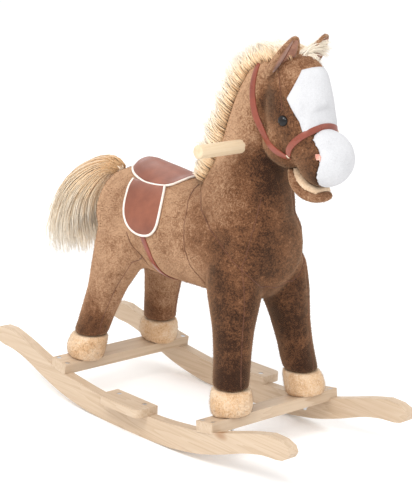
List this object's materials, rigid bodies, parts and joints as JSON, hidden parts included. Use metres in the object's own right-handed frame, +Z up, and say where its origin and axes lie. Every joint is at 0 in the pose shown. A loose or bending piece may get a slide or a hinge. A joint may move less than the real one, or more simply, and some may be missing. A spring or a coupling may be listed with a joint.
{
  "type": "rocking horse",
  "caption": "Child's plush rocking horse on wooden bow rockers, with a handle through the neck, a saddle, a bridle and footrests.",
  "frame": {"origin": "on the floor, in the middle of the box that holds the horse and its rockers", "axes": "+Z up; the horse faces -Y and its left side is +X"},
  "size_m": [0.326, 0.732, 0.6611],
  "materials": {
    "pine_wood": "sanded, clear matt",
    "dowel_wood": "turned and sanded smooth",
    "inner_wood": "rough sawn",
    "steel_fastener": "zinc plated",
    "brown_plush": "short mottled pile",
    "tan_plush": "short pile, paler at the edges",
    "white_plush": "short smooth pile",
    "mouth_fabric": "brushed cloth",
    "long_hair": "long combed hair, cream at the tips",
    "saddle_leather": "smooth semi-gloss imitation leather",
    "strap_leather": "smooth semi-gloss imitation leather",
    "eye_plastic": "polished black",
    "rivet_metal": "pale polished brass"
  },
  "bodies": {
    "horse": {"right_rocker": "pine_wood", "left_rocker": "pine_wood", "front_crossbar": "pine_wood", "front_crossbar_screw_right_inner": "steel_fastener", "front_crossbar_screw_right_outer": "steel_fastener", "front_crossbar_screw_left_inner": "steel_fastener", "front_crossbar_screw_left_outer": "steel_fastener", "front_right_leg_bolt": "steel_fastener", "front_right_leg_nut": "steel_fastener", "front_left_leg_bolt": "steel_fastener", "front_left_leg_nut": "steel_fastener", "rear_crossbar": "pine_wood", "rear_crossbar_screw_right_inner": "steel_fastener", "rear_crossbar_screw_right_outer": "steel_fastener", "rear_crossbar_screw_left_inner": "steel_fastener", "rear_crossbar_screw_left_outer": "steel_fastener", "rear_right_leg_bolt": "steel_fastener", "rear_right_leg_nut": "steel_fastener", "rear_left_leg_bolt": "steel_fastener", "rear_left_leg_nut": "steel_fastener", "right_footrest": "pine_wood", "right_footrest_screw_front": "steel_fastener", "right_footrest_screw_rear": "steel_fastener", "left_footrest": "pine_wood", "left_footrest_screw_front": "steel_fastener", "left_footrest_screw_rear": "steel_fastener", "front_right_leg_post": "inner_wood", "front_left_leg_post": "inner_wood", "rear_right_leg_post": "inner_wood", "rear_left_leg_post": "inner_wood", "spine_board": "inner_wood", "neck_post": "inner_wood", "handle_dowel": "dowel_wood", "torso": "brown_plush", "front_right_leg": "brown_plush", "front_right_hoof": "tan_plush", "front_left_leg": "brown_plush", "front_left_hoof": "tan_plush", "rear_right_leg": "brown_plush", "rear_right_hoof": "tan_plush", "rear_left_leg": "brown_plush", "rear_left_hoof": "tan_plush", "head_and_neck": "brown_plush", "muzzle": "white_plush", "lower_jaw": "brown_plush", "mouth_lining": "mouth_fabric", "right_ear": "brown_plush", "right_eye": "eye_plastic", "right_rivet": "rivet_metal", "left_ear": "brown_plush", "left_eye": "eye_plastic", "left_rivet": "rivet_metal", "crown_strap": "strap_leather", "noseband": "strap_leather", "mane": "long_hair", "saddle_seat": "saddle_leather", "girth_strap": "strap_leather"},
    "right_flap": {"right_saddle_flap": "saddle_leather"},
    "left_flap": {"left_saddle_flap": "saddle_leather"},
    "tail": {"tail": "long_hair"}
  },
  "joints": [
    {"name": "right_flap_lift", "type": "hinge", "parent": "horse", "child": "right_flap", "pos_m": [-0.0435, 0.07, 0.397], "axis": [0, 1, 0], "range_deg": [0, 60]},
    {"name": "left_flap_lift", "type": "hinge", "parent": "horse", "child": "left_flap", "pos_m": [0.0435, 0.07, 0.397], "axis": [0, -1, 0], "range_deg": [0, 60]},
    {"name": "tail_swing", "type": "hinge", "parent": "horse", "child": "tail", "pos_m": [0, 0.212, 0.374], "axis": [0, 0, 1], "range_deg": [-35, 35], "stiffness_Nm_per_rad": 0.4}
  ]
}
